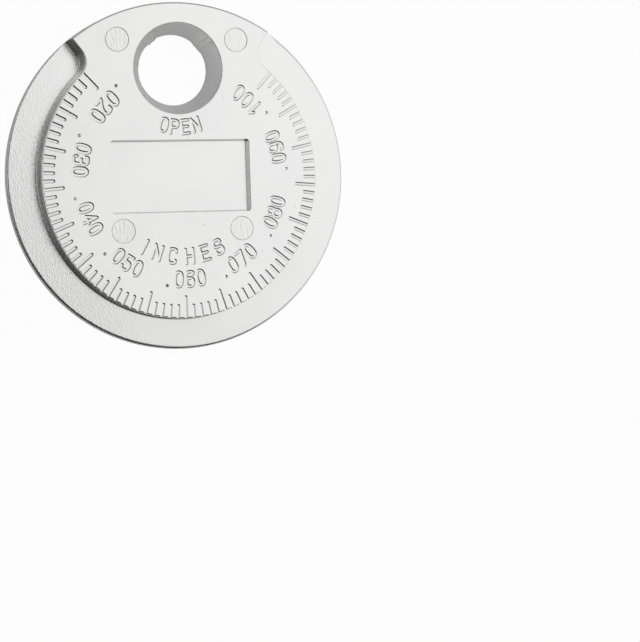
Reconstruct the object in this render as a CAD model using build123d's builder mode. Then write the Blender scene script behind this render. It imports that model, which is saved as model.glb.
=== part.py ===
from build123d import *
import os
from math import cos, radians, sin, sqrt

# A coin-shaped gap gauge, cast in one piece. It lies on its plain back face, with the
# inch scale up. The thickness of the ramp around its rim is the gap that is read.
# All sizes are in millimetres, and all angles are in degrees, counted from +X.

# The coin
coin_diameter = 45.0
coin_thickness = 3.2
back_rim_chamfer = 0.2
front_edge_chamfer = 0.12

# The ramp ledge: it thickens with each mark, and a step wall parts it from the face
ledge_width = 4.1
wall_draft = 5.0
wall_foot_radius = 0.3
pocket_corner_radius = 2.4
degrees_per_thou = 3.415
pocket_past_first_mark = 6.1
pocket_past_last_mark = 9.9

# The inch scale on the front: one mark for each thousandth of an inch
thou = 0.0254
first_inch_mark = 20
last_inch_mark = 100
inch_marks_per_long_mark = 5
long_inch_mark_length = 2.9
short_inch_mark_length = 1.75
mark_width = 0.38
mark_depth = 0.13
mark_draft = 30.0

# The millimetre scale on the back: one mark for each twentieth of a millimetre
mm_marks_per_mm = 20
first_mm_mark = 9
last_mm_mark = 51
mm_marks_per_long_mark = 2
mm_scale_rim_distance = 3.5
long_mm_mark_length = 3.5
short_mm_mark_length = 2.4

# The gap opener: a tapered hole, with a short straight land behind the cone
hole_rim_distance = 2.6
hole_front_diameter = 11.9
hole_land_diameter = 9.2
hole_land_length = 0.5
hole_back_chamfer = 0.2

# The blank label recess in the middle of the front
recess_length = 18.6
recess_width = 9.4
recess_depth = 1.0
recess_draft = 12.0
recess_corner_radius = 0.35

# The round marks of the ejector pins: a pair near the rim, and a pair below the recess
ejector_mark_diameter = 3.2
ejector_mark_depth = 0.15
ejector_spacing = 15.9
ejector_rim_distance = 3.15
ejector_recess_distance = 2.25

# How far a cutting shape reaches past the surface that it cuts
clear = 1.0

# Sizes that follow from the ones above
coin_radius = coin_diameter / 2
step_radius = coin_radius - ledge_width
mm_scale_radius = coin_radius - mm_scale_rim_distance
hole_front_radius = hole_front_diameter / 2
hole_land_radius = hole_land_diameter / 2
hole_offset = coin_radius - hole_rim_distance - hole_front_radius
upper_ejector_y = sqrt((coin_radius - ejector_rim_distance) ** 2 - (ejector_spacing / 2) ** 2)
lower_ejector_y = -recess_width / 2 - ejector_recess_distance
middle_inch_mark = (first_inch_mark + last_inch_mark) / 2
middle_mark_angle = 270


def angle_of_gap(gap):
    """The angle where the ramp is as thick as the gap."""
    return middle_mark_angle + (gap / thou - middle_inch_mark) * degrees_per_thou


def gap_at_angle(angle):
    """The thickness of the ramp at an angle."""
    return (middle_inch_mark + (angle - middle_mark_angle) / degrees_per_thou) * thou


def ray(angle, radius):
    """A point at an angle, and at a distance from the axis of the coin."""
    return (radius * cos(radians(angle)), radius * sin(radians(angle)))


# The ends of the ledge lie a little past the first mark and the last one
thin_end_angle = angle_of_gap(first_inch_mark * thou) - pocket_past_first_mark
thick_end_angle = angle_of_gap(last_inch_mark * thou) + pocket_past_last_mark

# The space above the ramp: a sector of a ring, with drafted walls and round corners
with BuildPart() as ledge_space:
    with BuildSketch(Plane.XY.offset(coin_thickness)) as ledge_outline:
        Circle(coin_radius + clear + coin_thickness)
        Circle(step_radius, mode=Mode.SUBTRACT)
        far = 4 * coin_radius
        opposite_angle = (thin_end_angle + thick_end_angle - 360) / 2
        with BuildLine():
            Polyline(
                (0, 0),
                ray(thin_end_angle, far),
                ray(opposite_angle, far),
                ray(thick_end_angle, far),
                close=True,
            )
        make_face(mode=Mode.SUBTRACT)
        inner_corners = ledge_outline.vertices().group_by(lambda vertex: Vector(vertex).length)[0]
        fillet(inner_corners, pocket_corner_radius)
    extrude(amount=-coin_thickness, taper=wall_draft)

    # its floor is a helical surface, a little wider and longer than the ledge
    ramp_start = thin_end_angle - pocket_past_first_mark
    ramp_end = thick_end_angle + pocket_past_last_mark
    ramp_rise = gap_at_angle(ramp_end) - gap_at_angle(ramp_start)
    with BuildLine() as ramp_path:
        helix = Helix(
            pitch=ramp_rise * 360 / (ramp_end - ramp_start),
            height=ramp_rise,
            radius=step_radius + ledge_width / 2,
            center=(0, 0, gap_at_angle(ramp_start)),
            mode=Mode.PRIVATE,
        )
        add(helix.rotate(Axis.Z, ramp_start))
    radial_plane = Plane(
        origin=ramp_path.line @ 0,
        x_dir=(*ray(ramp_start, 1), 0),
        z_dir=(*ray(ramp_start - 90, 1), 0),
    )
    with BuildSketch(radial_plane):
        Rectangle(ledge_width + 4 * clear, coin_thickness + clear, align=(Align.CENTER, Align.MIN))
    sweep(path=ramp_path.line, is_frenet=True, mode=Mode.INTERSECT)

    # the foot of the step wall is rounded, all along its floor but for the open side
    floor = ledge_space.faces().sort_by(lambda face: face.normal_at().Z)[0]
    fillet(floor.edges().sort_by(lambda edge: (edge @ 0.5).length)[:-1], wall_foot_radius)


# Where the marks of both scales stand. Seen from behind, angles count the other way.
inch_marks = range(first_inch_mark, last_inch_mark + 1)
long_inch_marks = [mark for mark in inch_marks if mark % inch_marks_per_long_mark == 0]
short_inch_marks = [mark for mark in inch_marks if mark not in long_inch_marks]
mm_marks = range(first_mm_mark, last_mm_mark + 1)
long_mm_marks = [mark for mark in mm_marks if mark % mm_marks_per_long_mark == 0]
short_mm_marks = [mark for mark in mm_marks if mark not in long_mm_marks]


def inch_angles(marks):
    """The angles of marks of the inch scale, on the front."""
    return [angle_of_gap(mark * thou) for mark in marks]


def mm_angles(marks):
    """The angles of marks of the millimetre scale, seen from behind."""
    return [-angle_of_gap(mark / mm_marks_per_mm) for mark in marks]


def draw_marks(angles, inner_radius, outer_radius):
    """Adds the outlines of marks to the open sketch, each a radial bar."""
    for angle in angles:
        with PolarLocations(outer_radius, 1, start_angle=angle):
            Rectangle(outer_radius - inner_radius, mark_width, align=(Align.MAX, Align.CENTER))


# The gauge itself: a disc, less the space above its ramp
with BuildPart() as gauge_body:
    Cylinder(coin_radius, coin_thickness, align=(Align.CENTER, Align.CENTER, Align.MIN))
    chamfer(gauge_body.edges().sort_by(Axis.Z)[0], back_rim_chamfer)
    add(ledge_space.part, mode=Mode.SUBTRACT)
    chamfer(gauge_body.faces().sort_by(Axis.Z)[-1].edges(), front_edge_chamfer)

    # the tapered hole, with its land and the broken edge behind
    with Locations((0, hole_offset, hole_land_length)):
        Cone(
            hole_land_radius,
            hole_front_radius,
            coin_thickness - hole_land_length,
            align=(Align.CENTER, Align.CENTER, Align.MIN),
            mode=Mode.SUBTRACT,
        )
    with Locations((0, hole_offset, 0)):
        Cylinder(
            hole_land_radius,
            hole_land_length,
            align=(Align.CENTER, Align.CENTER, Align.MIN),
            mode=Mode.SUBTRACT,
        )
    back_circles = gauge_body.edges().filter_by(GeomType.CIRCLE).group_by(Axis.Z)[0]
    chamfer(back_circles.sort_by(SortBy.RADIUS)[0], hole_back_chamfer)

    # the blank recess
    front_face = Plane.XY.offset(coin_thickness)
    with BuildSketch(front_face):
        RectangleRounded(recess_length, recess_width, recess_corner_radius)
    extrude(amount=-recess_depth, taper=recess_draft, mode=Mode.SUBTRACT)

    # the ejector marks
    with BuildSketch(front_face):
        with Locations((0, upper_ejector_y), (0, lower_ejector_y)):
            with GridLocations(ejector_spacing, 0, 2, 1):
                Circle(ejector_mark_diameter / 2)
    extrude(amount=-ejector_mark_depth, mode=Mode.SUBTRACT)

    # the inch scale, whose marks run out through the top edge of the step
    with BuildSketch(front_face):
        inch_scale_end = step_radius + clear
        draw_marks(inch_angles(long_inch_marks), step_radius - long_inch_mark_length, inch_scale_end)
        draw_marks(inch_angles(short_inch_marks), step_radius - short_inch_mark_length, inch_scale_end)
    extrude(amount=-mark_depth, taper=mark_draft, mode=Mode.SUBTRACT)

    # the millimetre scale, whose marks stay clear of the rim
    back_face = Plane(origin=(0, 0, 0), x_dir=(1, 0, 0), z_dir=(0, 0, -1))
    with BuildSketch(back_face):
        draw_marks(mm_angles(long_mm_marks), mm_scale_radius - long_mm_mark_length, mm_scale_radius)
        draw_marks(mm_angles(short_mm_marks), mm_scale_radius - short_mm_mark_length, mm_scale_radius)
    extrude(amount=-mark_depth, taper=mark_draft, mode=Mode.SUBTRACT)

gauge_body.part.label = "gauge_body"
os.makedirs("parts", exist_ok=True)
export_step(gauge_body.part, "parts/gauge_body.step")
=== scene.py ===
import math
import random

import bmesh
import bpy
from mathutils import Matrix, Vector


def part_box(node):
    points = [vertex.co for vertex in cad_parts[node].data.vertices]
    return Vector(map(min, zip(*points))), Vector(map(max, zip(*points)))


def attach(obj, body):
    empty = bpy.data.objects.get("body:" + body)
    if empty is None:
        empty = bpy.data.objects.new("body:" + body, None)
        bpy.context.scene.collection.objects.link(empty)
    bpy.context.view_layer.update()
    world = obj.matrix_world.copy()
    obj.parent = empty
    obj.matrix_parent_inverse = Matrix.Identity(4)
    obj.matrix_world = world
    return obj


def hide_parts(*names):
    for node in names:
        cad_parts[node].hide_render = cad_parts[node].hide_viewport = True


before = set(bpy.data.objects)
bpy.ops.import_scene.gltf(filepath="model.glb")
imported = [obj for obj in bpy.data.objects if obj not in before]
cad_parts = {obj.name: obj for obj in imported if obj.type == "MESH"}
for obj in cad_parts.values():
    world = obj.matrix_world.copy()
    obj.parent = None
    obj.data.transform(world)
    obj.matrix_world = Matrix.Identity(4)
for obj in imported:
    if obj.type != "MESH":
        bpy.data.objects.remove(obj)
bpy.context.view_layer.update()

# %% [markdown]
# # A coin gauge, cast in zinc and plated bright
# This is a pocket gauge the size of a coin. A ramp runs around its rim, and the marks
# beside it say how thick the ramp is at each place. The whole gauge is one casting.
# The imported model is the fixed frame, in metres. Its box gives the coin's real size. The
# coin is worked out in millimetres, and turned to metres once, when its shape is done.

MM = 0.001
low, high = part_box("gauge_body")
coin_radius = (high.x - low.x) / 2 / MM
coin_thickness = (high.z - low.z) / MM
print(f"coin: {2 * coin_radius:.2f} mm across, {coin_thickness:.2f} mm thick")

# %% [markdown]
# The ramp follows a rule: it gains one thousandth of an inch for each mark, and the
# sixtieth thousandth stands opposite the hole. The same rule places the marks of both
# scales, so it is written once, as a function of the thickness, and once the other way.

# %% The rule of the ramp
THOU = 0.0254
first_mark, last_mark, middle_mark = 20, 100, 60
middle_angle, degrees_per_thou = 270, 3.415
past_thin_end, past_thick_end = 5.4, 9.9
ledge_width = 4.1
step_radius = coin_radius - ledge_width
hole_angle = 92.0


def ledge_angle(x, y):
    """The angle of a place on the coin, in degrees, from the hole on to the hole again."""
    angle = math.degrees(math.atan2(y, x)) % 360
    return angle if angle >= hole_angle else angle + 360


def angle_of_gap(gap):
    """The angle, in degrees, where the ramp is as thick as the gap."""
    return middle_angle + (gap / THOU - middle_mark) * degrees_per_thou


def ramp_height(x, y):
    """The ramp's thickness at a place on the coin."""
    return (middle_mark + (ledge_angle(x, y) - middle_angle) / degrees_per_thou) * THOU


thin_end = angle_of_gap(first_mark * THOU) - past_thin_end
thick_end = angle_of_gap(last_mark * THOU) + past_thick_end
print(f"ledge from {thin_end:.1f} to {thick_end:.1f} degrees")

# %% [markdown]
# Every solid here is a skin over a row of closed loops: circles for what is turned,
# rounded rectangles for the recess, cross-sections for the ledge. Two flat caps close it.
# A casting is what is left when the tool's shapes are taken from a blank, so each feature
# is a cutter, and a boolean takes it away. The manifold solver does this fast and keeps
# the result closed. Loops give control over each rounded edge, which one bevel over the
# whole casting would not.

# %% A helper that skins loops
def skin(name, loops):
    """A closed solid over a row of loops, all with the same number of points."""
    count = len(loops[0])
    vertices = [point for loop in loops for point in loop]
    faces = []
    for row in range(len(loops) - 1):
        for k in range(count):
            a, b = row * count + k, row * count + (k + 1) % count
            faces.append((a, b, b + count, a + count))
    faces.append(tuple(range(count)))
    faces.append(tuple(range((len(loops) - 1) * count, len(loops) * count)))
    mesh = bpy.data.meshes.new(name)
    mesh.from_pydata(vertices, [], faces)
    shell = bmesh.new()
    shell.from_mesh(mesh)
    bmesh.ops.recalc_face_normals(shell, faces=shell.faces)
    shell.to_mesh(mesh)
    shell.free()
    piece = bpy.data.objects.new(name, mesh)
    bpy.context.scene.collection.objects.link(piece)
    return piece


# %% Helpers that carve
def settle(piece):
    """Turns a piece and its modifiers into a plain mesh."""
    bpy.context.view_layer.update()
    evaluated = piece.evaluated_get(bpy.context.evaluated_depsgraph_get())
    mesh = bpy.data.meshes.new_from_object(evaluated)
    piece.modifiers.clear()
    piece.data = mesh
    return piece


def carve(piece, cutter):
    """Takes the cutter's space from the piece, and removes the cutter."""
    boolean = piece.modifiers.new("carve", "BOOLEAN")
    boolean.operation = "DIFFERENCE"
    boolean.solver = "MANIFOLD"
    boolean.object = cutter
    settle(piece)
    print(f"{cutter.name} carved: {len(piece.data.polygons)} faces")
    bpy.data.objects.remove(cutter)


# %% Helpers that draw arcs and turn profiles
def arc(centre, radius, start, end, steps):
    """Points on a circle, from one angle to another, in degrees."""
    points = []
    for i in range(steps + 1):
        t = math.radians(start + (end - start) * i / steps)
        points.append((centre[0] + radius * math.cos(t), centre[1] + radius * math.sin(t)))
    return points


def turned(name, profile, segments, centre=(0, 0)):
    """A solid of revolution: each profile point is a radius and a height."""
    loops = []
    for radius, height in profile:
        circle = arc(centre, radius, 0, 360, segments)[:-1]
        loops.append([(x, y, height) for x, y in circle])
    return skin(name, loops)


# %% [markdown]
# The blank is a disc. A die leaves no sharp rim, so the profile that is turned has a small
# round at the front and one at the back. Half a degree per segment keeps the outline
# smooth at any distance that a person would hold it.

# %% The blank disc
rim_segments = 720
front_round, back_round = 0.28, 0.25
# a round stops two degrees short of the flat face, whose own edge comes next
nearly_flat = 88
front_centre = (coin_radius - front_round, coin_thickness - front_round)
profile = [(coin_radius - back_round, 0.0)]
profile += arc((coin_radius - back_round, back_round), back_round, -nearly_flat, 0, 6)
profile += arc(front_centre, front_round, 0, nearly_flat, 5)
profile.append((coin_radius - front_round, coin_thickness))
gauge = turned("coin_gauge", profile, rim_segments)
print(f"blank: {len(gauge.data.polygons)} faces")

# %% [markdown]
# Dozens of marks and characters will be cut into the two flat faces. One huge face with
# that many holes falls into long bad triangles, which show as dark streaks. So the flat
# faces are first quilted into squares of less than a millimetre. No eye can see them,
# because they all lie in one plane.

# %% Quilting the flat faces
quilt_pitch, quilt_shift, quilt_lines = 0.8, 0.37, 29
flat_normal = 0.99999
shell = bmesh.new()
shell.from_mesh(gauge.data)
for across in ((1, 0, 0), (0, 1, 0)):
    for i in range(-quilt_lines, quilt_lines):
        flat = [face for face in shell.faces if abs(face.normal.z) > flat_normal]
        parts = {*flat, *(e for face in flat for e in face.edges)}
        parts |= {v for face in flat for v in face.verts}
        place = [(i + quilt_shift) * quilt_pitch * c for c in across]
        bmesh.ops.bisect_plane(shell, geom=list(parts), plane_co=place, plane_no=across)
shell.to_mesh(gauge.data)
shell.free()
print(f"quilted: {len(gauge.data.polygons)} faces")

# %% [markdown]
# The ledge is the skilled part of the casting: a helical floor, a drafted step wall beside
# it, and a pocket at each end where the tool ran out. The floor curls up a little at the
# foot of the wall. Along the low half of the ramp a narrow shoulder, as deep as the marks,
# runs between the wall and the face, and the marks run out into it. The cutter is skinned
# over cross-sections that follow the wall in plan. Each section knows how high the ramp is
# where it stands, so floor, foot and wall all rise together.

# %% The wall in plan: points with the direction into the ledge
wall_draft = 5.0
edge_round, pocket_round = 0.14, 2.4
beyond = coin_radius + 2.0
mouth = beyond - 0.5
mouth_steps, pocket_steps, steps_per_degree = 20, 24, 2

# the round of a pocket touches the straight end of the ledge and its long wall
reach = step_radius + pocket_round
turn = math.degrees(math.asin(pocket_round / reach))
tangent = math.sqrt(reach**2 - pocket_round**2)
wall_angle = thick_end - thin_end - 2 * turn


def polar(angle, radius):
    """A place at an angle, in degrees, and a distance from the axis."""
    t = math.radians(angle)
    return (radius * math.cos(t), radius * math.sin(t))


def offset(point, direction, distance):
    """A place at a distance from a point, in a direction in degrees."""
    x, y = polar(direction, distance)
    return (point[0] + x, point[1] + y)


plan = []
for i in range(mouth_steps):
    radius = mouth + (tangent - mouth) * i / mouth_steps
    plan.append((polar(thin_end, radius), thin_end + 90))
centre = polar(thin_end + turn, reach)
for i in range(pocket_steps):
    angle = thin_end - 90 - (90 - turn) * i / pocket_steps
    plan.append((offset(centre, angle, pocket_round), angle + 180))
steps = round(wall_angle * steps_per_degree)
for i in range(steps + 1):
    angle = thin_end + turn + wall_angle * i / steps
    plan.append((polar(angle, step_radius), angle))
centre = polar(thick_end - turn, reach)
for i in range(1, pocket_steps + 1):
    angle = thick_end - turn + 180 - (90 - turn) * i / pocket_steps
    plan.append((offset(centre, angle, pocket_round), angle + 180))
for i in range(1, mouth_steps + 1):
    radius = tangent + (mouth - tangent) * i / mouth_steps
    plan.append((polar(thick_end, radius), thick_end - 90))
print(f"wall in plan: {len(plan)} places")

# %% What all sections of the ledge cutter share
slope = math.radians(wall_draft)
edge_reach = edge_round * (1 - math.sin(slope)) / math.cos(slope)
most_foot, foot_turn = 0.4, 25.0
# a round takes at most this share of the height that it has
most_share = 0.45
floor_steps = 6
pocket_fan = 2
cutter_top = coin_thickness + 1


def outer_angle(index):
    """Where a section's far end stands: it fans out in the pockets."""
    first = mouth_steps + pocket_steps
    last = len(plan) - 1 - first
    if index < first:
        return thin_end + pocket_fan + (turn - pocket_fan) * index / first
    if index > last:
        return thick_end - pocket_fan - (turn - pocket_fan) * (len(plan) - 1 - index) / first
    return thin_end + turn + wall_angle * (index - first) / (last - first)


def rise_and_fall(value, start, high_start, high_end, end):
    """A share that goes from 0 to 1 and back, softly, while the value passes four places."""
    share = min((value - start) / (high_start - start), (end - value) / (end - high_end))
    share = min(max(share, 0.0), 1.0)
    return share * share * (3 - 2 * share)


# %% The ledge cutter, section by section
shoulder_width, shoulder_depth, shoulder_slope = 0.1, 0.14, 0.4
shoulder_angles = (126, 131, 222, 246)
# past the shoulder's ends these keep the cutter's sheets from touching each other
least_width, least_depth = 0.01, 0.004
sections = []
for index, (point, direction) in enumerate(plan):
    low_half = rise_and_fall(ledge_angle(*point), *shoulder_angles)
    down = shoulder_depth * low_half + least_depth
    back = -edge_reach - shoulder_width * low_half - least_width
    shoulder = [(back, cutter_top), (back, coin_thickness)]
    shoulder.append((back + shoulder_slope * (-edge_reach - back), coin_thickness - down))
    floor = ramp_height(*offset(point, direction, most_foot))
    foot_size = min(most_foot, most_share * (coin_thickness - floor))
    foot_rise = foot_size * (1 - math.cos(math.radians(foot_turn)))
    wall_reach = (coin_thickness - floor - foot_rise) * math.tan(slope)
    foot_reach = wall_reach + foot_size * math.sin(math.radians(foot_turn))
    edge = arc((-edge_reach, coin_thickness - edge_round - down), edge_round, 90, wall_draft, 5)
    foot = arc((foot_reach, floor + foot_size), foot_size, 270 - foot_turn, 270, 5)
    section = []
    for across, height in shoulder + edge + foot:
        section.append((*offset(point, direction, across), height))
    start = offset(point, direction, foot_reach)
    end = polar(outer_angle(index), beyond)
    for i in range(1, floor_steps + 1):
        x = start[0] + (end[0] - start[0]) * i / floor_steps
        y = start[1] + (end[1] - start[1]) * i / floor_steps
        section.append((x, y, ramp_height(x, y)))
    section.append((*end, cutter_top))
    sections.append(section)
carve(gauge, skin("ledge", sections))

# %% [markdown]
# The outer edge of the ramp is rounded too, by a thin sliver that follows the rim. It
# tapers to nothing at both ends, as a polished edge does where the wheel could not reach.

# %% The rounded outer edge of the ramp
most_ramp_round = 0.4
taper_steps = 8
# how far a cutter reaches past the surface that it cuts
clear = 0.5
slivers = []
sliver_start, sliver_end = thin_end + 1.5, thick_end - 1.0
sliver_steps = round((sliver_end - sliver_start) * steps_per_degree)
for i in range(sliver_steps + 1):
    angle = sliver_start + (sliver_end - sliver_start) * i / sliver_steps
    floor = ramp_height(*polar(angle, coin_radius))
    taper = min(1, (i + 0.5) / taper_steps, (sliver_steps - i + 0.5) / taper_steps)
    size = min(most_ramp_round, most_share * floor) * taper
    section = arc((coin_radius - size, floor - size), size, 90, 8, 5)
    section += [(coin_radius + clear, section[-1][1]), (coin_radius + clear, floor + clear)]
    section += [(coin_radius - size, floor + clear)]
    slivers.append([(*polar(angle, radius), height) for radius, height in section])
carve(gauge, skin("ramp_edge", slivers))

# %% [markdown]
# The tapered hole bends a plug's electrode open. Its cone faces the front, a short
# straight land lies near the back, and the edge behind is rolled over. Three small burrs
# of torn metal are left on the land: there the cutter's own points are pushed inwards.

# %% The tapered hole
hole_centre = (0.0, 13.95)
hole_front, hole_land, land_top, back_edge = 5.95, 4.6, 0.5, 0.2
# two points lie this far beyond a flat face, so that none lies in it
hair = 0.0001
hole_profile = [(hole_land + 0.5, -clear), (hole_land + 0.22, -hair)]
hole_profile += arc((hole_land + back_edge, back_edge), back_edge, -92, -180, 5)
hole_profile += [(hole_land, land_top), (hole_front - 0.04, coin_thickness - 0.07)]
hole_profile += [(hole_front, coin_thickness - 0.02), (hole_front + 0.07, coin_thickness + hair)]
hole_profile += [(hole_front + 0.3, coin_thickness + clear)]
hole_segments = 256
opener = turned("opener_hole", hole_profile, hole_segments, hole_centre)

# %% The burrs on its land
# where the middle of each burr is and how far it spreads, in degrees, and its height
burrs = ((128, 11, 0.3), (41, 12, 0.26), (171, 4, 0.12))
burrs_from, burrs_to = 0.05, 1.0
dice = random.Random(4)
ragged = [dice.uniform(0.2, 1.0) for _ in range(hole_segments)]
for vertex in opener.data.vertices:
    away = Vector((vertex.co.x - hole_centre[0], vertex.co.y - hole_centre[1], 0))
    if burrs_from < vertex.co.z < burrs_to and away.length < hole_front:
        angle = math.degrees(math.atan2(away.y, away.x)) % 360
        torn = ragged[round(angle / 360 * hole_segments) % hole_segments]
        for middle, spread, height in burrs:
            share = max(0.0, 1 - ((angle - middle) / spread) ** 2)
            vertex.co -= away.normalized() * share * height * torn
carve(gauge, opener)

# %% [markdown]
# The recess in the middle is a drafted pocket with small round corners. It is skinned
# over rounded rectangles that shrink as they go down.

# %% The blank recess
recess_x, recess_y = 18.6 / 2, 9.4 / 2
recess_corner, least_corner, recess_depth = 0.35, 0.05, 0.95
recess_slope = math.tan(math.radians(12))
# the long walls are steeper than the short ones
long_wall_share = 0.6


def rounded_rectangle(inset, height):
    """A loop with eight points to a corner."""
    radius = recess_corner - min(inset, recess_corner - least_corner)
    loop = []
    for k, (sx, sy) in enumerate([(1, 1), (-1, 1), (-1, -1), (1, -1)]):
        x = sx * (recess_x - inset - radius)
        y = sy * (recess_y - long_wall_share * inset - radius)
        loop += [(*point, height) for point in arc((x, y), radius, 90 * k, 90 * k + 90, 7)]
    return loop


recess_floor = coin_thickness - recess_depth
wall_foot = (recess_depth - 0.05) * recess_slope
recess_profile = [
    (-0.04, coin_thickness + clear),
    (-0.04, coin_thickness),
    (-0.015, coin_thickness - 0.01),
    (0.0, coin_thickness - 0.04),
    (wall_foot, recess_floor + 0.05),
    (wall_foot + 0.025, recess_floor + 0.015),
    (wall_foot + 0.06, recess_floor),
]
carve(gauge, skin("recess", [rounded_rectangle(*place) for place in recess_profile]))

# %% [markdown]
# Four pins pushed the casting out of the die, and each left a shallow round mark. The
# worn edge of a pin stands out a little, so a mark has a flat floor with a fine deeper
# ring around it. No two are equally deep, and all are a little tilted.

# %% The ejector marks
ejector_radius, ejector_tilt = 1.6, 0.5
ejector_places = [(-7.95, 17.64), (7.95, 17.64), (-7.95, -6.95), (7.95, -6.95)]
ejector_depths = (0.16, 0.14, 0.13, 0.05)
for (x, y), depth in zip(ejector_places, ejector_depths):
    rim = [(ejector_radius - 0.13, -0.3 * depth), (ejector_radius - 0.08, -depth)]
    rim += [(ejector_radius - 0.06, -depth), (ejector_radius, 0.0), (ejector_radius + 0.2, 0.6)]
    pin = turned("ejector_mark", rim, 96)
    pin.data.transform(Matrix.Rotation(math.radians(ejector_tilt), 4, Vector((1, -1, 0))))
    pin.data.transform(Matrix.Translation((x, y, coin_thickness)))
    carve(gauge, pin)

# %% [markdown]
# The metal is zinc, die-cast and then plated with bright nickel and chrome. Plating is
# nearly a mirror, but a casting's skin under it is never quite flat: fine orange peel
# blurs what it mirrors. The peel is coarse where the polishing wheel did not reach, on
# the low part of the ledge and on the round wall of its pocket. So the metal is a neutral
# bright one, with a low roughness that drifts a little from place to place, and a bump
# whose grains are a seventh to a third of a millimetre.

# %% A helper for nodes, and one for colours
def node(tree, kind, inputs=None, **settings):
    """Adds a node, sets its properties, and fills its inputs with values or links."""
    made = tree.nodes.new(kind)
    for name, value in settings.items():
        setattr(made, name, value)
    for key, value in (inputs or {}).items():
        if isinstance(value, bpy.types.NodeSocket):
            tree.links.new(value, made.inputs[key])
        else:
            made.inputs[key].default_value = value
    return made


def srgb(code):
    """A hex colour as the eye sees it, turned to linear light."""
    channels = [int(code[i : i + 2], 16) / 255 for i in (1, 3, 5)]
    linear = [c / 12.92 if c <= 0.04045 else ((c + 0.055) / 1.055) ** 2.4 for c in channels]
    return (*linear, 1.0)


# %% Chrome-plated die-cast zinc, and its grain
plating = bpy.data.materials.new("chrome plated die-cast zinc")
plating.use_nodes = True
tree = plating.node_tree
tree.nodes.clear()
place = node(tree, "ShaderNodeTexCoord").outputs["Object"]
drift_mm = 9.0
grain_sizes = (0.14, 0.34, 0.24)
in_grains = node(
    tree,
    "ShaderNodeVectorMath",
    {0: place, 1: [1 / (size * MM) for size in grain_sizes]},
    operation="MULTIPLY",
)
peel = node(
    tree, "ShaderNodeTexNoise", {"Vector": in_grains.outputs[0], "Scale": 1.0, "Detail": 2.0}
)
drift = node(
    tree, "ShaderNodeTexNoise", {"Vector": place, "Scale": 1 / (drift_mm * MM), "Detail": 3.0}
)

# %% Where the grain is coarse
split = node(tree, "ShaderNodeSeparateXYZ", {"Vector": place})
flat_place = node(tree, "ShaderNodeVectorMath", {0: place, 1: (1, 1, 0)}, operation="MULTIPLY")
from_axis = node(tree, "ShaderNodeVectorMath", {0: flat_place.outputs[0]}, operation="LENGTH")
low_side_angle = 192
low_side = node(
    tree,
    "ShaderNodeVectorMath",
    {0: place, 1: (*polar(low_side_angle, 1), 0)},
    operation="DOT_PRODUCT",
)
# the middle of the pocket's round wall: three degrees in, and 0.6 mm out from the step
pocket_middle = [c * MM for c in polar(thin_end + 3, step_radius + 0.6)]
from_pocket = node(
    tree,
    "ShaderNodeVectorMath",
    {0: flat_place.outputs[0], 1: (*pocket_middle, 0)},
    operation="DISTANCE",
)

# each share goes from 0 to 1 between two measures, in millimetres
shares = {}
for name, measure, start, end in [
    ("pocket", from_pocket.outputs["Value"], 3.2, 1.6),
    ("above its floor", split.outputs["Z"], 0.7, 1.2),
    ("low side", low_side.outputs["Value"], 4, 18),
    ("below the face", split.outputs["Z"], coin_thickness - 0.05, coin_thickness - 0.2),
    ("ledge", from_axis.outputs["Value"], step_radius - 0.12, step_radius + 0.06),
]:
    limits = {"From Min": start * MM, "From Max": end * MM}
    shares[name] = node(tree, "ShaderNodeMapRange", {"Value": measure, **limits}).outputs[0]
coarse = shares["pocket"]
for operation, name in [
    ("MULTIPLY", "above its floor"),
    ("MAXIMUM", "low side"),
    ("MULTIPLY", "below the face"),
    ("MULTIPLY", "ledge"),
]:
    inputs = {0: coarse, 1: shares[name]}
    coarse = node(tree, "ShaderNodeMath", inputs, operation=operation).outputs[0]
fine_peel, coarse_peel = 0.0007 * MM, 0.025 * MM
peel_height = node(
    tree, "ShaderNodeMapRange", {"Value": coarse, "To Min": fine_peel, "To Max": coarse_peel}
)
print("the grain's height follows:", ", ".join(shares))

# %% Scratches in the round marks, because the ends of the pins were filed
folded_place = node(tree, "ShaderNodeVectorMath", {0: place}, operation="ABSOLUTE")
folded_x = node(tree, "ShaderNodeSeparateXYZ", {"Vector": folded_place.outputs[0]})
beside = node(tree, "ShaderNodeCombineXYZ", {"X": folded_x.outputs["X"], "Y": split.outputs["Y"]})
nearest = []
# both sides are folded onto the right one, so that two places stand for all four
for x, y in (ejector_places[1], ejector_places[3]):
    gap = node(
        tree,
        "ShaderNodeVectorMath",
        {0: beside.outputs[0], 1: (x * MM, y * MM, 0)},
        operation="DISTANCE",
    )
    nearest.append(gap.outputs["Value"])
from_pin = node(tree, "ShaderNodeMath", {0: nearest[0], 1: nearest[1]}, operation="MINIMUM")
scratch_wide, scratch_long, scratch_deep = 0.28, 1.6, 0.025
in_mark = node(
    tree,
    "ShaderNodeMapRange",
    {
        "Value": from_pin.outputs[0],
        "From Min": (ejector_radius - 0.4) * MM,
        "From Max": (ejector_radius - 0.1) * MM,
        "To Min": scratch_deep * MM,
        "To Max": 0.0,
    },
)
stretched = node(
    tree,
    "ShaderNodeVectorMath",
    {0: place, 1: (1 / (scratch_wide * MM), 1 / (scratch_long * MM), 0)},
    operation="MULTIPLY",
)
scratches = node(
    tree,
    "ShaderNodeTexNoise",
    {"Vector": stretched.outputs[0], "Scale": 1.0, "Detail": 1.0, "Distortion": 0.6},
)
print(f"scratches: {scratch_wide} mm wide, {scratch_long} mm long")

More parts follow.
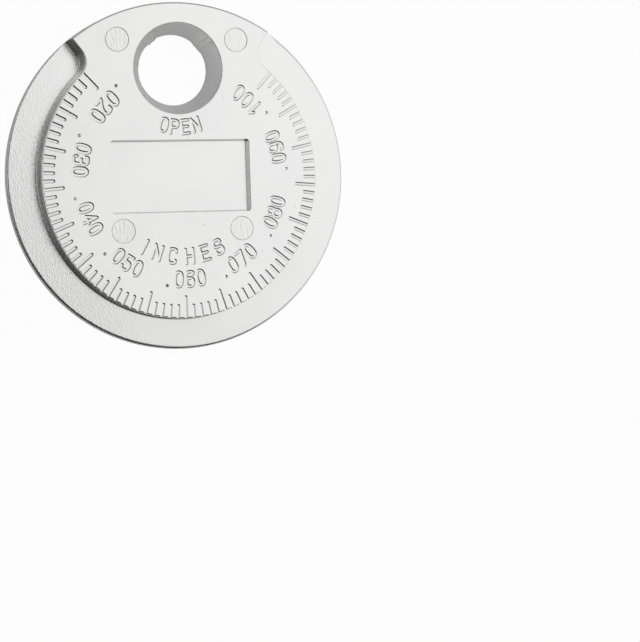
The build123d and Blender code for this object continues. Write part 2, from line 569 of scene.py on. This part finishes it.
# %% A few pinholes, where gas was caught under the skin
pinhole_pitch, pinhole_deep = 1.5, 0.02
pinholes = node(
    tree, "ShaderNodeTexVoronoi", {"Vector": place, "Scale": 1 / (pinhole_pitch * MM)}
)
pinhole_depth = node(
    tree,
    "ShaderNodeMapRange",
    {"Value": pinholes.outputs["Distance"], "From Min": 0.02, "From Max": 0.09},
)
few = node(
    tree,
    "ShaderNodeMapRange",
    {
        "Value": drift.outputs[0],
        "From Min": 0.5,
        "From Max": 0.62,
        "To Min": 0.0,
        "To Max": pinhole_deep * MM,
    },
)
print(f"pinholes: at most {pinhole_deep} mm deep")

# %% One relief upon another, and the metal itself
relief = {}
for depth, pattern in [(peel_height, peel), (in_mark, scratches), (few, pinhole_depth)]:
    inputs = {"Strength": 1.0, "Distance": depth.outputs[0], "Height": pattern.outputs[0]}
    relief = {"Normal": node(tree, "ShaderNodeBump", {**inputs, **relief}).outputs[0]}
roughness = node(
    tree,
    "ShaderNodeMapRange",
    {"Value": drift.outputs[0], "From Min": 0.3, "From Max": 0.7, "To Min": 0.2, "To Max": 0.26},
)
tint = node(
    tree,
    "ShaderNodeMix",
    {"Factor": drift.outputs[0], 6: srgb("#F0F0EF"), 7: srgb("#F4F4F4")},
    data_type="RGBA",
)
metal = node(
    tree,
    "ShaderNodeBsdfPrincipled",
    {
        "Base Color": tint.outputs[2],
        "Metallic": 1.0,
        "Roughness": roughness.outputs[0],
        **relief,
    },
)
node(tree, "ShaderNodeOutputMaterial", {"Surface": metal.outputs[0]})
gauge.data.materials.append(plating)
print("material:", plating.name)

# %% [markdown]
# The scales repeat, so Geometry Nodes lay them out: a row of points on a circle, turned
# outwards, with a groove cutter on each. Every fifth mark of the inch scale is long, and
# every second one of the millimetre scale. A groove is a flat-bottomed channel with
# gently sloping sides and a round end, as a small round punch leaves it in a die. Such a
# shape is convex, so a trapezoid run along a line and a stub of a cone, wrapped in one
# skin by Convex Hull, make it exactly.

# %% How a tree begins and ends
def begin_tree(name, numbers):
    """A tree with these named inputs, the identifier of each, and their sockets."""
    tree = bpy.data.node_groups.new(name, "GeometryNodeTree")
    kinds = [("Geometry", "Geometry")]
    kinds += [(key, "Int" if isinstance(numbers[key], int) else "Float") for key in numbers]
    identifiers = {}
    for key, kind in kinds + [("Material", "Material")]:
        socket = tree.interface.new_socket(key, in_out="INPUT", socket_type="NodeSocket" + kind)
        if key in numbers:
            socket.default_value = numbers[key]
        identifiers[key] = socket.identifier
    tree.interface.new_socket("Geometry", in_out="OUTPUT", socket_type="NodeSocketGeometry")
    return tree, identifiers, node(tree, "NodeGroupInput").outputs


def end_tree(tree, group, geometry):
    """The end of a tree: its instances become real geometry, with the material."""
    real = node(tree, "GeometryNodeRealizeInstances", {"Geometry": geometry})
    finish = node(
        tree,
        "GeometryNodeSetMaterial",
        {"Geometry": real.outputs[0], "Material": group["Material"]},
    )
    node(tree, "NodeGroupOutput", {0: finish.outputs[0]})
    print(f"tree {tree.name}: {len(tree.nodes)} nodes")


# %% The groove profile, shared by marks and characters
face_rise = 0.02
GROOVE_INPUTS = {"Height": 0.1, "Floor Width": 0.1, "Top Width": 0.1, "Drop": 0.1}


def groove(tree, curve, group):
    """A channel along a curve, from its floor up to a little above the face.

    The profile hangs upside down from a curve that lies flat, so its top is the floor.
    """
    profile = node(
        tree,
        "GeometryNodeCurvePrimitiveQuadrilateral",
        {
            "Height": group["Height"],
            "Bottom Width": group["Top Width"],
            "Top Width": group["Floor Width"],
            "Offset": 0.0,
        },
        mode="TRAPEZOID",
    )
    upright = node(tree, "GeometryNodeSetCurveNormal", {"Curve": curve}, mode="Z_UP")
    drop = node(tree, "ShaderNodeCombineXYZ", {"Y": group["Drop"]})
    placed = node(
        tree,
        "GeometryNodeTransform",
        {"Geometry": profile.outputs[0], "Translation": drop.outputs[0]},
    )
    return node(
        tree,
        "GeometryNodeCurveToMesh",
        {"Curve": upright.outputs[0], "Profile Curve": placed.outputs[0], "Fill Caps": True},
    ).outputs[0]


# %% The round end of a groove
def round_end(tree, group, where):
    """A stub of a cone as wide as the channel, with its narrow end on the same floor."""
    radii = []
    for width in ("Floor Width", "Top Width"):
        half = node(tree, "ShaderNodeMath", {0: group[width], 1: 0.5}, operation="MULTIPLY")
        radii.append(half.outputs[0])
    stub = node(
        tree,
        "GeometryNodeMeshCone",
        {
            "Vertices": 20,
            "Radius Bottom": radii[0],
            "Radius Top": radii[1],
            "Depth": group["Height"],
        },
        fill_type="NGON",
    )
    sunk = node(
        tree,
        "ShaderNodeMath",
        {0: group["Height"], 1: 0.5, 2: group["Drop"]},
        operation="MULTIPLY_ADD",
    )
    down = node(tree, "ShaderNodeCombineXYZ", {"Z": sunk.outputs[0]})
    place = node(
        tree, "ShaderNodeVectorMath", {0: where, 1: down.outputs[0]}, operation="SUBTRACT"
    )
    return node(
        tree,
        "GeometryNodeTransform",
        {"Geometry": stub.outputs[0], "Translation": place.outputs[0]},
    ).outputs[0]


# %% The sizes of a groove
def groove_sizes(width, depth, draft):
    """What the profile needs, from a groove's width at the face, its depth and its draft."""
    spread = math.tan(math.radians(draft))
    return {
        "Height": depth + face_rise,
        "Floor Width": width - 2 * depth * spread,
        "Top Width": width + 2 * face_rise * spread,
        "Drop": (depth - face_rise) / 2,
    }


# %% The tree that lays out a scale
scale_tree, scale_inputs, group = begin_tree(
    "scale_marks",
    {
        "Mark Count": 81,
        "Marks per Long Mark": 5,
        "First Long Mark": 0,
        "First Angle": 0.0,
        "Angle per Mark": 3.4,
        "Outer Radius": 19.0,
        "Long Length": 3.0,
        "Short Length": 2.0,
        **GROOVE_INPUTS,
    },
)
tree = scale_tree
index = node(tree, "GeometryNodeInputIndex").outputs[0]
swing = node(
    tree,
    "ShaderNodeMath",
    {0: index, 1: group["Angle per Mark"], 2: group["First Angle"]},
    operation="MULTIPLY_ADD",
)
angle = node(tree, "ShaderNodeMath", {0: swing.outputs[0]}, operation="RADIANS").outputs[0]
turn_by = node(tree, "ShaderNodeCombineXYZ", {"Z": angle}).outputs[0]
rim_point = node(tree, "ShaderNodeCombineXYZ", {"X": group["Outer Radius"]}).outputs[0]
on_circle = node(
    tree, "ShaderNodeVectorRotate", {"Vector": rim_point, "Angle": angle}, rotation_type="Z_AXIS"
)
points = node(
    tree, "GeometryNodePoints", {"Count": group["Mark Count"], "Position": on_circle.outputs[0]}
)
counted = node(
    tree, "ShaderNodeMath", {0: index, 1: group["First Long Mark"]}, operation="SUBTRACT"
)
remainder = node(
    tree,
    "ShaderNodeMath",
    {0: counted.outputs[0], 1: group["Marks per Long Mark"]},
    operation="FLOORED_MODULO",
)
is_long = node(
    tree, "ShaderNodeMath", {0: remainder.outputs[0], 1: 0.5}, operation="LESS_THAN"
).outputs[0]
is_short = node(tree, "ShaderNodeMath", {0: 1.0, 1: is_long}, operation="SUBTRACT").outputs[0]

# %% Long marks and short ones
both = node(tree, "GeometryNodeJoinGeometry")
for chosen, length in [(is_long, "Long Length"), (is_short, "Short Length")]:
    inward = node(tree, "ShaderNodeMath", {0: 0.0, 1: group[length]}, operation="SUBTRACT")
    inner = node(tree, "ShaderNodeCombineXYZ", {"X": inward.outputs[0]})
    line = node(
        tree, "GeometryNodeCurvePrimitiveLine", {"Start": inner.outputs[0], "End": (0, 0, 0)}
    )
    parts = node(tree, "GeometryNodeJoinGeometry")
    tree.links.new(groove(tree, line.outputs[0], group), parts.inputs[0])
    tree.links.new(round_end(tree, group, inner.outputs[0]), parts.inputs[0])
    wrapped = node(tree, "GeometryNodeConvexHull", {0: parts.outputs[0]})
    marks = node(
        tree,
        "GeometryNodeInstanceOnPoints",
        {
            "Points": points.outputs[0],
            "Selection": chosen,
            "Instance": wrapped.outputs[0],
            "Rotation": turn_by,
        },
    )
    tree.links.new(marks.outputs[0], both.inputs[0])
end_tree(tree, group, both.outputs[0])


# %% Growing a cutter, and wearing it
def grow(name, mesh, tree, identifiers, values):
    """A plain mesh, grown by a Geometry Nodes tree with these named inputs."""
    piece = bpy.data.objects.new(name, mesh)
    bpy.context.scene.collection.objects.link(piece)
    grower = piece.modifiers.new("grow", "NODES")
    grower.node_group = tree
    for key, value in values.items():
        grower[identifiers[key]] = value
    return settle(piece)


def wear(cutter, at_left, at_right):
    """Makes a cutter shallower from left to right, as a worn side of the die does."""
    for vertex in cutter.data.vertices:
        share = (vertex.co.x + step_radius) / (2 * step_radius)
        vertex.co.z *= at_left + (at_right - at_left) * share


# %% The inch scale on the front
to_front = Matrix.Translation((0, 0, coin_thickness))
to_back = Matrix.Rotation(math.pi, 4, "Y")
# what a depth is multiplied by at the left and at the right; the back is not worn
front_wear, back_wear = (1.1, 0.6), (1.0, 1.0)
mark_wear, point_wear = (1.15, 0.5), (0.95, 0.25)
mark_groove = groove_sizes(width=0.49, depth=0.125, draft=53)
past_step = 0.6
inch_scale = grow(
    "inch_scale",
    bpy.data.meshes.new("inch_scale"),
    scale_tree,
    scale_inputs,
    {
        "Mark Count": last_mark - first_mark + 1,
        "Marks per Long Mark": 5,
        "First Long Mark": 0,
        "First Angle": angle_of_gap(first_mark * THOU),
        "Angle per Mark": degrees_per_thou,
        "Outer Radius": step_radius + past_step,
        "Long Length": 2.7 + past_step,
        "Short Length": 1.55 + past_step,
        "Material": plating,
        **mark_groove,
    },
)
wear(inch_scale, *mark_wear)
inch_scale.data.transform(to_front)
carve(gauge, inch_scale)

# %% The millimetre scale on the back
mm_step = 0.05
first_mm_mark, last_mm_mark = 9, 51
mm_scale = grow(
    "millimetre_scale",
    bpy.data.meshes.new("millimetre_scale"),
    scale_tree,
    scale_inputs,
    {
        "Mark Count": last_mm_mark - first_mm_mark + 1,
        "Marks per Long Mark": 2,
        "First Long Mark": 1,
        "First Angle": 180 - angle_of_gap(first_mm_mark * mm_step),
        "Angle per Mark": -mm_step / THOU * degrees_per_thou,
        "Outer Radius": 19.0,
        "Long Length": 3.3,
        "Short Length": 2.2,
        "Material": plating,
        **mark_groove,
    },
)
mm_scale.data.transform(to_back)
carve(gauge, mm_scale)

# %% [markdown]
# Numbers and words were cut into the die with a round tool, one line wide, and the
# casting shows them as shallow channels with rounded bends. So each character is a few
# strokes, as a signwriter would draw it, in a box one wide and one high. A bend is
# rounded; a sharp corner is where two strokes meet. The strokes are plain edges, which
# a second tree turns into channels with a profile like that of the marks.

# %% The characters, as strokes in a box of one by one
CHARACTERS = {
    "0": ["0,0 1,0 1,1 0,1 closed"],
    "1": [".55,0 .55,1", ".55,1 .1,.74"],
    "2": ["0,.72 0,1 1,1 1,.58 0,0", "0,0 1,0"],
    "3": ["0,.8 0,1 1,1 1,.54 .35,.54", ".5,.54 1,.54 1,0 0,0 0,.2"],
    "4": [".72,1 .72,0", ".72,1 0,.32", "0,.32 1,.32"],
    "5": ["0,.2 0,0 1,0 1,.58 0,.58", "0,.58 .1,1", ".1,1 .95,1"],
    "6": ["0,0 1,0 1,.58 0,.58 closed", "1,.84 1,1 0,1 0,.3"],
    "7": ["0,1 1,1", "1,1 .35,0"],
    "8": ["0,0 1,0 1,.54 0,.54 closed", ".06,.54 .06,1 .94,1 .94,.54"],
    "9": ["0,.42 0,1 1,1 1,.42 closed", "0,.16 0,0 1,0 1,.7"],
    "C": ["1,.8 1,1 0,1 0,0 1,0 1,.2"],
    "E": ["0,0 0,1", "0,1 1,1", "0,.52 .85,.52", "0,0 1,0"],
    "H": ["0,0 0,1", "1,0 1,1", "0,.5 1,.5"],
    "I": [".5,0 .5,1"],
    "L": ["0,1 0,0", "0,0 1,0"],
    "M": ["0,0 0,1", "1,0 1,1", "0,1 .5,.3", "1,1 .5,.3"],
    "N": ["0,0 0,1", "1,0 1,1", "0,1 1,0"],
    "O": ["0,0 1,0 1,1 0,1 closed"],
    "P": ["0,0 0,1", "0,1 1,1 1,.46 0,.46"],
    "R": ["0,0 0,1", "0,1 1,1 1,.46 0,.46", ".5,.46 1,0"],
    "S": ["1,.78 1,1 0,1 0,.53 1,.53 1,0 0,0 0,.22"],
    "T": [".5,0 .5,1", "0,1 1,1"],
}
print("characters:", " ".join(CHARACTERS))


# %% Strokes with rounded bends
def bend(corners, radius, closed):
    """Rounds the corners of a line, each with a short curve of a few points."""
    bend_steps, most_of_side = 6, 0.48
    line = []
    for i, corner in enumerate(corners):
        if not closed and i in (0, len(corners) - 1):
            line.append(corner)
            continue
        before = corners[i - 1] - corner
        after = corners[(i + 1) % len(corners)] - corner
        start = corner + before.normalized() * min(radius, most_of_side * before.length)
        end = corner + after.normalized() * min(radius, most_of_side * after.length)
        for step in range(bend_steps + 1):
            t = step / bend_steps
            line.append(start * (1 - t) ** 2 + corner * 2 * t * (1 - t) + end * t**2)
    return line


def strokes_of(character, width, height, stroke):
    """The strokes of a character, whose outer size with its line is width by height."""
    bend_radius = 0.4 * height
    made = []
    for text in CHARACTERS[character]:
        closed = text.endswith("closed")
        corners = []
        for pair in text.replace("closed", "").split():
            x, y = (float(number) for number in pair.split(","))
            corners.append(
                Vector(((x - 0.5) * (width - stroke), y * (height - stroke) + stroke / 2))
            )
        made.append((bend(corners, bend_radius, closed), closed))
    return made


# %% The tree that turns strokes into channels
stroke_tree, stroke_inputs, group = begin_tree("engraved_strokes", GROOVE_INPUTS)
curves = node(stroke_tree, "GeometryNodeMeshToCurve", {"Mesh": group["Geometry"]})
end_tree(stroke_tree, group, groove(stroke_tree, curves.outputs[0], group))

# %% The tree that sets a round stub on each point
spot_tree, spot_inputs, group = begin_tree("round_spots", GROOVE_INPUTS)
origin = node(spot_tree, "ShaderNodeCombineXYZ").outputs[0]
spots = node(
    spot_tree,
    "GeometryNodeInstanceOnPoints",
    {"Points": group["Geometry"], "Instance": round_end(spot_tree, group, origin)},
)
end_tree(spot_tree, group, spots.outputs[0])

# %% [markdown]
# Characters stand on circles with their tops towards the middle, so that they are read
# with the rim at the bottom. Strokes of one character overlap where they meet, and a
# cutter must not overlap itself. So the first strokes of all characters are cut
# together, then all the second ones, and so on. The open ends come last, with a round
# stub on each, and ends that touch go into different passes too.

# %% Cutting spots, and characters that stand on circles
stroke_draft, point_draft = 52, 34


def cut_spots(name, places, sizes, face, worn):
    """Cuts a round spot at each place, those that overlap one after another."""
    space, same = sizes["Top Width"] + 0.02, 1e-4
    passes = []
    for place in places:
        for others in passes:
            if all((place - other).length > space for other in others):
                others.append(place)
                break
            if any((place - other).length < same for other in others):
                break
        else:
            passes.append([place])
    for number, spots in enumerate(passes):
        dots = bpy.data.meshes.new(f"{name}_{number}")
        dots.from_pydata([(*place, 0) for place in spots], [], [])
        values = {"Material": plating, **sizes}
        cutter = grow(f"{name}_{number}", dots, spot_tree, spot_inputs, values)
        wear(cutter, *worn)
        cutter.data.transform(face)
        carve(gauge, cutter)


def engrave(name, letters, width, height, stroke, depth, face, worn):
    """Cuts characters, each given with the centre of its circle, its foot radius and angle."""
    passes, ends = {}, []
    for character, centre, foot_radius, angle in letters:
        out = Vector(polar(angle, 1))
        along = Vector((-out.y, out.x))
        for number, (line, closed) in enumerate(strokes_of(character, width, height, stroke)):
            placed = [Vector(centre) + (foot_radius - p.y) * out + p.x * along for p in line]
            passes.setdefault(number, []).append((placed, closed))
            if not closed:
                ends += [placed[0], placed[-1]]
    sizes = groove_sizes(stroke, depth, stroke_draft)
    for number, lines in passes.items():
        points, edges = [], []
        for line, closed in lines:
            first = len(points)
            points += [(*p, 0) for p in line]
            edges += [(i, i + 1) for i in range(first, len(points) - 1)]
            if closed:
                edges.append((len(points) - 1, first))
        paths = bpy.data.meshes.new(f"{name}_{number}")
        paths.from_pydata(points, edges, [])
        values = {"Material": plating, **sizes}
        cutter = grow(f"{name}_{number}", paths, stroke_tree, stroke_inputs, values)
        wear(cutter, *worn)
        cutter.data.transform(face)
        carve(gauge, cutter)
    cut_spots(f"{name}_ends", ends, sizes, face, worn)


# %% The numbers and words on the front
axis = (0, 0)
on_front = {"face": to_front, "worn": front_wear}
digit_steps, point_step = (-4.4, 2.0, 8.3), -10.5
# how far each number stands from its mark, in degrees: the die maker set them by eye
set_by_eye = (2.4, 0.8, -0.6, -2.4, 0.8, -0.7, -2.0, 1.0, -1.7)
numbers, points = [], []
for mark, shift in zip(range(first_mark, last_mark + 1, 10), set_by_eye):
    at = angle_of_gap(mark * THOU) + shift
    points.append(Vector(polar(at + point_step, 14.35)))
    for character, step in zip(f"{mark:03d}", digit_steps):
        numbers.append((character, axis, 14.6, at + step))
engrave("inch_numbers", numbers, width=1.42, height=2.38, stroke=0.48, depth=0.115, **on_front)
point_sizes = groove_sizes(width=0.44, depth=0.28, draft=point_draft)
cut_spots("inch_points", points, point_sizes, to_front, point_wear)

inch_letters = zip("INCHES", (240, 250, 261, 274, 285.5, 296.5))
letters = [(letter, axis, 11.6, at) for letter, at in inch_letters]
engrave("inch_word", letters, width=1.48, height=2.33, stroke=0.48, depth=0.115, **on_front)
open_letters = zip("OPEN", (253.7, 264.6, 275.5, 286.4))
letters = [(letter, hole_centre, 8.7, at) for letter, at in open_letters]
engrave("open_word", letters, width=1.38, height=2.18, stroke=0.46, depth=0.11, **on_front)

# %% The numbers and the word on the back
on_back = {"face": to_back, "worn": back_wear}
back_shift, half_number = 1.5, 3.2
numbers, points = [], []
for tenths in range(6, 25, 2):
    at = 180 - angle_of_gap(tenths / 10) - back_shift
    numbers.append((str(tenths // 10), axis, 14.25, at - half_number))
    numbers.append((str(tenths % 10), axis, 14.25, at + half_number))
    points.append(Vector(polar(at, 14.05)))
engrave("millimetre_numbers", numbers, width=1.05, height=1.98, stroke=0.4, depth=0.1, **on_back)
point_sizes = groove_sizes(width=0.4, depth=0.25, draft=point_draft)
cut_spots("millimetre_points", points, point_sizes, to_back, back_wear)
millimetre_letters = zip("MILLIMETERS", (213.5 + 11.3 * i for i in range(11)))
letters = [(letter, axis, 10.25, at) for letter, at in millimetre_letters]
engrave("millimetre_word", letters, width=1.33, height=2.12, stroke=0.42, depth=0.1, **on_back)

# %% [markdown]
# A square that holds a closed line, such as a full stop, still becomes a face with a
# hole, and its triangles may fold over. Such a face is halved, and then halved again.
# That mends nearly half of them. The rest are under a tenth of a square millimetre, which
# is too small to show.

# %% Finding the faces whose triangles fold over
least_triangle = 5e-4


def folded_faces(mesh):
    """The faces with a triangle that lies upside down."""
    mesh.calc_loop_triangles()
    found = set()
    for triangle in mesh.loop_triangles:
        a, b, c = (mesh.vertices[i].co for i in triangle.vertices)
        up = (b - a).cross(c - a)
        normal = mesh.polygons[triangle.polygon_index].normal
        if up.length > least_triangle and up.dot(normal) < 0:
            found.add(triangle.polygon_index)
    return found


def extent(face, axis):
    """How long a face is along one of the three axes."""
    places = [vertex.co[axis] for vertex in face.verts]
    return max(places) - min(places)


# %% Halving them, at two places a little beside the middle
beside_middle = Vector((0.013, 0.017, 0))
for shift in (-3, -2):
    folded = folded_faces(gauge.data)
    print(f"folded faces: {len(folded)}")
    if not folded:
        break
    shell = bmesh.new()
    shell.from_mesh(gauge.data)
    shell.faces.ensure_lookup_table()
    for face in [shell.faces[i] for i in folded]:
        bmesh.ops.bisect_plane(
            shell,
            geom=[face, *face.edges, *face.verts],
            plane_co=face.calc_center_bounds() + beside_middle * shift,
            plane_no=(1, 0, 0) if extent(face, 0) > extent(face, 1) else (0, 1, 0),
        )
    shell.to_mesh(gauge.data)
    shell.free()

# %% [markdown]
# The flat faces stay exactly flat, and everything that is cast round or drafted is
# smooth, with a crisp line wherever two surfaces meet at more than about a quarter of a
# right angle: along the walls of marks, the rims of the round spots and the edges of the
# recess.

# %% Flat faces, smooth roundings and crisp walls
crisp_angle = 21
mesh = gauge.data
mesh.set_sharp_from_angle(angle=math.radians(crisp_angle))
for face in mesh.polygons:
    face.use_smooth = abs(face.normal.z) < flat_normal
weighting = gauge.modifiers.new("area_weighted", "WEIGHTED_NORMAL")
weighting.mode = "FACE_AREA"
weighting.weight = 100
weighting.keep_sharp = True
settle(gauge)
gauge.data.transform(Matrix.Scale(MM, 4))
gauge.data.materials.clear()
gauge.data.materials.append(plating)
for face in gauge.data.polygons:
    face.material_index = 0
print(f"{gauge.name}: {len(gauge.data.polygons)} faces, one piece")

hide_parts("gauge_body")
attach(gauge, "root")

# %% [markdown]
# The coin lies on a plain white table. To the eye the table is as bright as white paper
# in daylight, and it darkens a little under the rim. The metal mirrors it as paper that
# the tent lights, with a faint glow of its own. The table lies a fiftieth of a millimetre
# below the coin, and it has no underside, so that the back of the coin can be looked at
# from below.

# %% The paper of the table
table_material = bpy.data.materials.new("matt white paper")
table_material.use_nodes = True
tree = table_material.node_tree
tree.nodes.clear()
paper = node(tree, "ShaderNodeBsdfDiffuse", {"Color": srgb("#E8E8E8")})
glow = node(tree, "ShaderNodeEmission", {"Color": (1, 1, 1, 1), "Strength": 1.0})
seen_glow, mirrored_glow = 0.97, 0.1
path = node(tree, "ShaderNodeLightPath").outputs
mirrored = node(
    tree,
    "ShaderNodeMath",
    {0: path["Is Glossy Ray"], 1: path["Is Transmission Ray"]},
    operation="MAXIMUM",
)
mirrored = node(
    tree, "ShaderNodeMath", {0: mirrored.outputs[0], 1: mirrored_glow}, operation="MULTIPLY"
)
share = node(
    tree,
    "ShaderNodeMath",
    {0: path["Is Camera Ray"], 1: seen_glow, 2: mirrored.outputs[0]},
    operation="MULTIPLY_ADD",
)
blend = node(
    tree,
    "ShaderNodeMixShader",
    {0: share.outputs[0], 1: paper.outputs[0], 2: glow.outputs[0]},
)
nothing = node(tree, "ShaderNodeBsdfTransparent")
underside = node(tree, "ShaderNodeNewGeometry").outputs["Backfacing"]
one_sided = node(
    tree,
    "ShaderNodeMixShader",
    {0: underside, 1: blend.outputs[0], 2: nothing.outputs[0]},
)
node(tree, "ShaderNodeOutputMaterial", {"Surface": one_sided.outputs[0]})

# %% The white table
half, table_top = 1.5, -0.02 * MM
table_mesh = bpy.data.meshes.new("table")
table_mesh.from_pydata(
    [(x * half, y * half, table_top) for x, y in ((-1, -1), (1, -1), (1, 1), (-1, 1))],
    [],
    [(0, 1, 2, 3)],
)
table_mesh.materials.append(table_material)
table = bpy.data.objects.new("table", table_mesh)
bpy.context.scene.collection.objects.link(table)
print("table:", 2 * half, "m square")

# %% [markdown]
# Bright metal shows nothing of its own, only the room. The room here is a soft tent. Its
# top is white towards the right and nearly black towards the left. Low down its wall is
# bright at the right only, dim elsewhere and darkest at the near left. The near side is
# dark for two thirds of the way up. The dark parts draw the step and the walls of the
# marks, which mirror them, some by way of the ledge, while the flat faces mirror white.

# %% The light tent
world = bpy.data.worlds.new("light tent")
bpy.context.scene.world = world
world.use_nodes = True
tree = world.node_tree
tree.nodes.clear()
outwards = node(tree, "ShaderNodeTexCoord").outputs["Generated"]
sky = node(tree, "ShaderNodeVectorMath", {0: outwards}, operation="NORMALIZE").outputs[0]
height = node(tree, "ShaderNodeSeparateXYZ", {"Vector": sky}).outputs["Z"]


def tent_side(azimuth, start, end, away, towards):
    """The light of a side, which changes softly as a direction leans towards an azimuth."""
    lean = node(
        tree,
        "ShaderNodeVectorMath",
        {0: sky, 1: (*polar(azimuth, 1), 0)},
        operation="DOT_PRODUCT",
    ).outputs["Value"]
    limits = {"From Min": start, "From Max": end, "To Min": away, "To Max": towards}
    return node(
        tree,
        "ShaderNodeMapRange",
        {"Value": lean, **limits},
        interpolation_type="SMOOTHSTEP",
    ).outputs[0]


right_wall = tent_side(2, 0.5, 0.94, 0.25, 1.0)
left_wall = tent_side(232, 0.5, 0.8, 1.0, 0.08)
overhead = tent_side(20, -0.15, 0.26, 0.05, 1.0)
near_side = tent_side(250, 0.3, 0.52, 1.0, 0.15)
low_wall = node(tree, "ShaderNodeMath", {0: right_wall, 1: left_wall}, operation="MULTIPLY")

# %% The tent from its low wall to its top
level = near_side
# two bands of height: the low wall fades out upwards, and what hangs overhead fades in
bands = [(0.5, 0.85, low_wall.outputs[0], 1.0), (0.73, 0.88, 1.0, overhead)]
for start, end, below, above in bands:
    limits = {"From Min": start, "From Max": end, "To Min": below, "To Max": above}
    band = node(
        tree,
        "ShaderNodeMapRange",
        {"Value": height, **limits},
        interpolation_type="SMOOTHSTEP",
    )
    level = node(
        tree, "ShaderNodeMath", {0: level, 1: band.outputs[0]}, operation="MULTIPLY"
    ).outputs[0]
room = node(tree, "ShaderNodeBackground", {"Color": (1, 1, 1, 1), "Strength": level})
plain = node(tree, "ShaderNodeBackground", {"Color": (1, 1, 1, 1), "Strength": 1.0})
direct = node(tree, "ShaderNodeLightPath").outputs["Is Camera Ray"]
backdrop = node(
    tree,
    "ShaderNodeMixShader",
    {0: direct, 1: room.outputs[0], 2: plain.outputs[0]},
)
node(tree, "ShaderNodeOutputWorld", {"Surface": backdrop.outputs[0]})
print("world:", world.name)

# %% The camera, a long lens from a little to the left
lens = bpy.data.cameras.new("camera")
lens.sensor_fit = "HORIZONTAL"
lens.sensor_width = 36.0
lens.lens = 114.331
lens.clip_start = 0.01
camera = bpy.data.objects.new("camera", lens)
camera.location = Vector((-70.933, -10.310, 258.185)) * MM
camera.rotation_euler = [math.radians(a) for a in (-1.32687, -19.35591, -1.92723)]
bpy.context.scene.collection.objects.link(camera)
bpy.context.scene.camera = camera
bpy.context.scene.view_settings.view_transform = "Standard"
print(f"camera: {lens.lens:.0f} mm lens, {camera.location.length:.3f} m from the coin")
